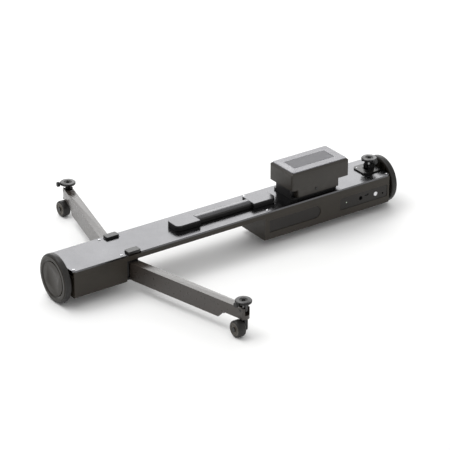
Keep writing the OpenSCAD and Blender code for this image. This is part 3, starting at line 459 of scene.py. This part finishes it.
def screw_tree(name, slot):
    """Cap screws: a head with a softened rim and a hexagon socket, one on each point, turned as asked"""
    tree, given, output = new_tree(name, Radius="Float", Height="Float", Socket="Float", Turn="Vector")
    head = add(tree, "GeometryNodeMeshCylinder",
               {"Vertices": 32, "Side Segments": 4,
                "Radius": given.outputs["Radius"], "Depth": given.outputs["Height"]})
    place = add(tree, "GeometryNodeInputPosition").outputs["Position"]
    height = add(tree, "ShaderNodeSeparateXYZ", {"Vector": place}).outputs["Z"]
    half = add(tree, "ShaderNodeMath",
               {0: given.outputs["Height"], 1: 0.5}, operation="MULTIPLY").outputs["Value"]
    share = add(tree, "ShaderNodeMath", {0: height, 1: half}, operation="DIVIDE").outputs["Value"]
    narrow = add(tree, "ShaderNodeMapRange",
                 {"Value": share, "From Min": 0.45, "From Max": 1.0, "To Min": 1.0, "To Max": 0.82},
                 interpolation_type="SMOOTHERSTEP").outputs["Result"]
    scale = add(tree, "ShaderNodeCombineXYZ", {"X": narrow, "Y": narrow, "Z": 1.0}).outputs["Vector"]
    moved = add(tree, "ShaderNodeVectorMath", {0: place, 1: scale}, operation="MULTIPLY").outputs["Vector"]
    domed = add(tree, "GeometryNodeSetPosition",
                {"Geometry": head.outputs["Mesh"], "Position": moved}).outputs["Geometry"]
    socket = add(tree, "GeometryNodeMeshCylinder",
                 {"Vertices": 6, "Radius": given.outputs["Socket"],
                  "Depth": given.outputs["Height"]}).outputs["Mesh"]
    lift = add(tree, "ShaderNodeCombineXYZ", {"Z": half}).outputs["Vector"]
    tool = add(tree, "GeometryNodeTransform", {"Geometry": socket, "Translation": lift}).outputs["Geometry"]
    cut = add(tree, "GeometryNodeMeshBoolean", {"Mesh 1": domed, "Mesh 2": tool}, operation="DIFFERENCE")
    stood = add(tree, "GeometryNodeTransform", {"Geometry": cut.outputs["Mesh"], "Translation": lift})
    placed = add(tree, "GeometryNodeInstanceOnPoints",
                 {"Points": given.outputs["Geometry"], "Instance": stood.outputs["Geometry"],
                  "Rotation": given.outputs["Turn"]}).outputs["Instances"]
    close_tree(tree, output, placed, slot)
    return tree


def knob_tree(name, slot):
    """Thumb screw along Z: a stem, a drum eased in towards both ends, and straight ribs round the drum"""
    tree, given, output = new_tree(name, Radius="Float", Length="Float", Ribs="Int", Rib_size="Float",
                                   Stem_radius="Float", Stem_length="Float", Turn="Vector", Place="Vector")
    drum = add(tree, "GeometryNodeMeshCylinder",
               {"Vertices": 48, "Side Segments": 6, "Fill Segments": 3,
                "Radius": given.outputs["Radius"], "Depth": given.outputs["Length"]}).outputs["Mesh"]
    place = add(tree, "GeometryNodeInputPosition").outputs["Position"]
    parts = add(tree, "ShaderNodeSeparateXYZ", {"Vector": place})
    half = add(tree, "ShaderNodeMath",
               {0: given.outputs["Length"], 1: 0.5}, operation="MULTIPLY").outputs["Value"]
    away = add(tree, "ShaderNodeMath", {0: parts.outputs["Z"]}, operation="ABSOLUTE").outputs["Value"]
    share = add(tree, "ShaderNodeMath", {0: away, 1: half}, operation="DIVIDE").outputs["Value"]
    narrow = add(tree, "ShaderNodeMapRange",
                 {"Value": share, "From Min": 0.6, "From Max": 1.0,
                  "To Min": 1.0, "To Max": 0.86}).outputs["Result"]
    scale = add(tree, "ShaderNodeCombineXYZ", {"X": narrow, "Y": narrow, "Z": 1.0}).outputs["Vector"]
    eased = add(tree, "ShaderNodeVectorMath", {0: place, 1: scale}, operation="MULTIPLY").outputs["Vector"]
    body = add(tree, "GeometryNodeSetPosition", {"Geometry": drum, "Position": eased}).outputs["Geometry"]
    ring = add(tree, "GeometryNodeMeshCircle",
               {"Vertices": given.outputs["Ribs"], "Radius": given.outputs["Radius"]}).outputs["Mesh"]
    inset = add(tree, "ShaderNodeMath",
                {0: given.outputs["Length"], 1: 0.72}, operation="MULTIPLY").outputs["Value"]
    rib = add(tree, "GeometryNodeMeshCylinder",
              {"Vertices": 8, "Radius": given.outputs["Rib size"], "Depth": inset}).outputs["Mesh"]
    ribs = add(tree, "GeometryNodeInstanceOnPoints", {"Points": ring, "Instance": rib}).outputs["Instances"]
    stem = add(tree, "GeometryNodeMeshCylinder",
               {"Vertices": 24, "Radius": given.outputs["Stem radius"],
                "Depth": given.outputs["Stem length"]}).outputs["Mesh"]
    reach = add(tree, "ShaderNodeMath",
                {0: given.outputs["Stem length"], 1: given.outputs["Length"]},
                operation="ADD").outputs["Value"]
    back = add(tree, "ShaderNodeMath", {0: reach, 1: -0.498}, operation="MULTIPLY").outputs["Value"]
    drop = add(tree, "ShaderNodeCombineXYZ", {"Z": back}).outputs["Vector"]
    shank = add(tree, "GeometryNodeTransform", {"Geometry": stem, "Translation": drop}).outputs["Geometry"]
    whole = add(tree, "GeometryNodeJoinGeometry")
    for part in (shank, ribs, body):
        tree.links.new(part, whole.inputs["Geometry"])
    laid = add(tree, "GeometryNodeTransform",
               {"Geometry": whole.outputs["Geometry"], "Rotation": given.outputs["Turn"],
                "Translation": given.outputs["Place"]}).outputs["Geometry"]
    close_tree(tree, output, laid, slot)
    return tree


def dot_tree(name, slot):
    """Round domed lenses of one radius, one on each point, facing the way they are turned"""
    tree, given, output = new_tree(name, Radius="Float", Dome="Float", Turn="Vector")
    ball = add(tree, "GeometryNodeMeshUVSphere",
               {"Segments": 20, "Rings": 10, "Radius": given.outputs["Radius"]}).outputs["Mesh"]
    squat = add(tree, "ShaderNodeCombineXYZ",
                {"X": 1.0, "Y": 1.0, "Z": given.outputs["Dome"]}).outputs["Vector"]
    lens = add(tree, "GeometryNodeTransform", {"Geometry": ball, "Scale": squat}).outputs["Geometry"]
    placed = add(tree, "GeometryNodeInstanceOnPoints",
                 {"Points": given.outputs["Geometry"], "Instance": lens,
                  "Rotation": given.outputs["Turn"]}).outputs["Instances"]
    close_tree(tree, output, placed, slot)
    return tree


def groups_of(node, near_mm):
    """Centres of the separate bodies that one CAD node holds, lowest to highest corner of each"""
    spots = []
    for vertex in frame["nodes"][node].data.vertices:
        for spot in spots:
            if (vertex.co - spot["seen"]).length < near_mm * MM:
                spot["low"] = Vector(map(min, spot["low"], vertex.co))
                spot["high"] = Vector(map(max, spot["high"], vertex.co))
                break
        else:
            spots.append({"seen": vertex.co.copy(), "low": vertex.co.copy(), "high": vertex.co.copy()})
    return spots


FACE_UP = (0.0, 0.0, 0.0)
FACE_NEAR = (math.radians(90), 0.0, 0.0)
FACE_DOWN = (math.radians(180), 0.0, 0.0)
FACE_RIGHT = (0.0, math.radians(90), 0.0)
SCREW_APART_MM = 12     # screws stand farther apart than this
bright_screws = screw_tree("bright_cap_screws", "bright_steel")
black_screws = screw_tree("black_cap_screws", "black_steel")

heads = groups_of("deck_screws", SCREW_APART_MM)
deck_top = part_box("deck_plate")[1].z
grown("deck_screw_heads", bright_screws,
      [((h["low"] + h["high"]) / 2).xy.to_3d() + Vector((0, 0, h["low"].z)) for h in heads],
      {"Radius": (heads[0]["high"].x - heads[0]["low"].x) / 2,
       "Height": heads[0]["high"].z - heads[0]["low"].z, "Socket": 1.35 * MM, "Turn": FACE_UP},
      "chassis", "bright_steel", "deck_screws")

heads = groups_of("cover_screws", SCREW_APART_MM)
grown("cover_screw_heads", black_screws,
      [((h["low"] + h["high"]) / 2).xy.to_3d() + Vector((0, 0, h["high"].z)) for h in heads],
      {"Radius": (heads[0]["high"].x - heads[0]["low"].x) / 2,
       "Height": heads[0]["high"].z - heads[0]["low"].z, "Socket": 1.45 * MM, "Turn": FACE_DOWN},
      "chassis", "black_steel", "cover_screws")

# Screws in the four holes of the third foot's base, and one in the recess of each roller's leg
low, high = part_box("deck_foot_base")
BASE_SCREW_IN = 7 * MM          # from the base's sides
BASE_SCREW_UP = 1.2 * MM        # from the deck to the screw's seat
AXLE_SCREW_IN = 2 * MM          # from the leg's outer face
rows = [(low.x + BASE_SCREW_IN, high.x - BASE_SCREW_IN), (low.y + BASE_SCREW_IN, high.y - BASE_SCREW_IN)]
grown("foot_base_screws", bright_screws,
      [(x, y, deck_top + BASE_SCREW_UP) for x in rows[0] for y in rows[1]],
      {"Radius": 2.15 * MM, "Height": 1.5 * MM, "Socket": 1.1 * MM, "Turn": FACE_UP},
      "chassis", "bright_steel")
for side in ("near", "far"):
    low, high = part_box(side + "_roller_hub")
    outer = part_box(side + "_roller_bracket")[1].x
    seat = (outer - AXLE_SCREW_IN, (low.y + high.y) / 2, (low.z + high.z) / 2)
    grown(side + "_axle_screw", bright_screws, [seat],
          {"Radius": 3.6 * MM, "Height": 1.6 * MM, "Socket": 1.7 * MM, "Turn": FACE_RIGHT},
          side + "_arm", "bright_steel")

# Lamp behind the small round hole of the port panel, just below its face
LAMP_LEFT = 46 * MM             # from the panel's middle
LAMP_DEEP = 0.9 * MM            # from its face to the lens's middle
low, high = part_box("port_panel")
lamp_place = ((low.x + high.x) / 2 - LAMP_LEFT, low.y + LAMP_DEEP, (low.z + high.z) / 2)
lamp = grown("power_lamp", dot_tree("domed_lamp", "socket_plastic"), [lamp_place],
             {"Radius": 1.5 * MM, "Dome": 0.5, "Turn": FACE_NEAR}, "chassis", "socket_plastic")
lamp.data.materials[0] = lamp_lens("moulded_polycarbonate_lamp_lens", "#b9c7b4", 0.25)

# Thumb screws of the three feet
KNOB_LENGTH = 7 * MM
ribbed_knob = knob_tree("ribbed_thumb_screw", "knob_plastic")
for foot in ("near", "far", "deck"):
    node = foot + "_clamp_screw"
    joint = joint_of[foot + "_clamp_turn"]
    axis = Vector(joint["axis"]).normalized()
    pivot = Vector(joint["pos_m"])
    reaches = [(v.co - pivot).dot(axis) for v in frame["nodes"][node].data.vertices]
    if abs(min(reaches)) > abs(max(reaches)):
        axis = -axis
        reaches = [-r for r in reaches]
    tip = max(reaches)
    turn = axis.to_track_quat("Z", "Y").to_euler()
    grown(foot + "_thumb_screw", ribbed_knob, [(0, 0, 0)],
          {"Radius": 4.9 * MM, "Length": KNOB_LENGTH, "Ribs": 20,
           "Rib size": 0.55 * MM, "Stem radius": 1.75 * MM,
           "Stem length": tip - KNOB_LENGTH - min(reaches), "Turn": tuple(turn),
           "Place": tuple(pivot + axis * (tip - KNOB_LENGTH / 2))}, foot + "_clamp", "knob_plastic", node)


# ---------------------------------------------------------------- stage, light and camera

floor_mesh = bpy.data.meshes.new("floor")
FLOOR = 30
floor_mesh.from_pydata([(-FLOOR, -FLOOR, 0), (FLOOR, -FLOOR, 0), (FLOOR, FLOOR, 0), (-FLOOR, FLOOR, 0)],
                       [], [(0, 1, 2, 3)])
floor = bpy.data.objects.new("floor", floor_mesh)
bpy.context.collection.objects.link(floor)
paper = Finish("matt_studio_paper", **{"Specular IOR Level": 0.1})
floor_mesh.materials.append(paper.surface(paper.mottled("#f4f4f4", "#f7f7f6", 900, 1), 0.9))

world = bpy.data.worlds.new("studio")
world.use_nodes = True
world.node_tree.nodes["Background"].inputs["Color"].default_value = (1.0, 1.0, 1.0, 1.0)
world.node_tree.nodes["Background"].inputs["Strength"].default_value = 0.72
bpy.context.scene.world = world


def soft_box(name, place, aim, size, power):
    """Large square light that faces a point"""
    light = bpy.data.lights.new(name, "AREA")
    light.shape = "RECTANGLE"
    light.size, light.size_y = size
    light.energy = power
    lamp = bpy.data.objects.new(name, light)
    lamp.location = place
    lamp.rotation_euler = (Vector(aim) - Vector(place)).to_track_quat("-Z", "Y").to_euler()
    bpy.context.collection.objects.link(lamp)


DOLLY_MIDDLE = (0, 0, 0.05)
soft_box("top_box", (-0.7, 0.9, 2.6), DOLLY_MIDDLE, (2.4, 1.6), 45)
soft_box("back_wall", (2.4, 3.3, 1.7), DOLLY_MIDDLE, (4.4, 2.4), 85)

AIM_BELOW_MIDDLE = 20 * MM
low, high = cad_box
middle = (low + high) / 2
camera_data = bpy.data.cameras.new("camera")
camera_data.lens = 186
camera_data.sensor_width = 36
camera = bpy.data.objects.new("camera", camera_data)
camera.location = (-2.492, -3.5815, 2.2089)
aim = middle - Vector((0, 0, AIM_BELOW_MIDDLE))
camera.rotation_euler = (aim - camera.location).to_track_quat("-Z", "Y").to_euler()
camera_data.clip_end = 100
bpy.context.collection.objects.link(camera)
bpy.context.scene.camera = camera
bpy.context.scene.view_settings.view_transform = "Standard"
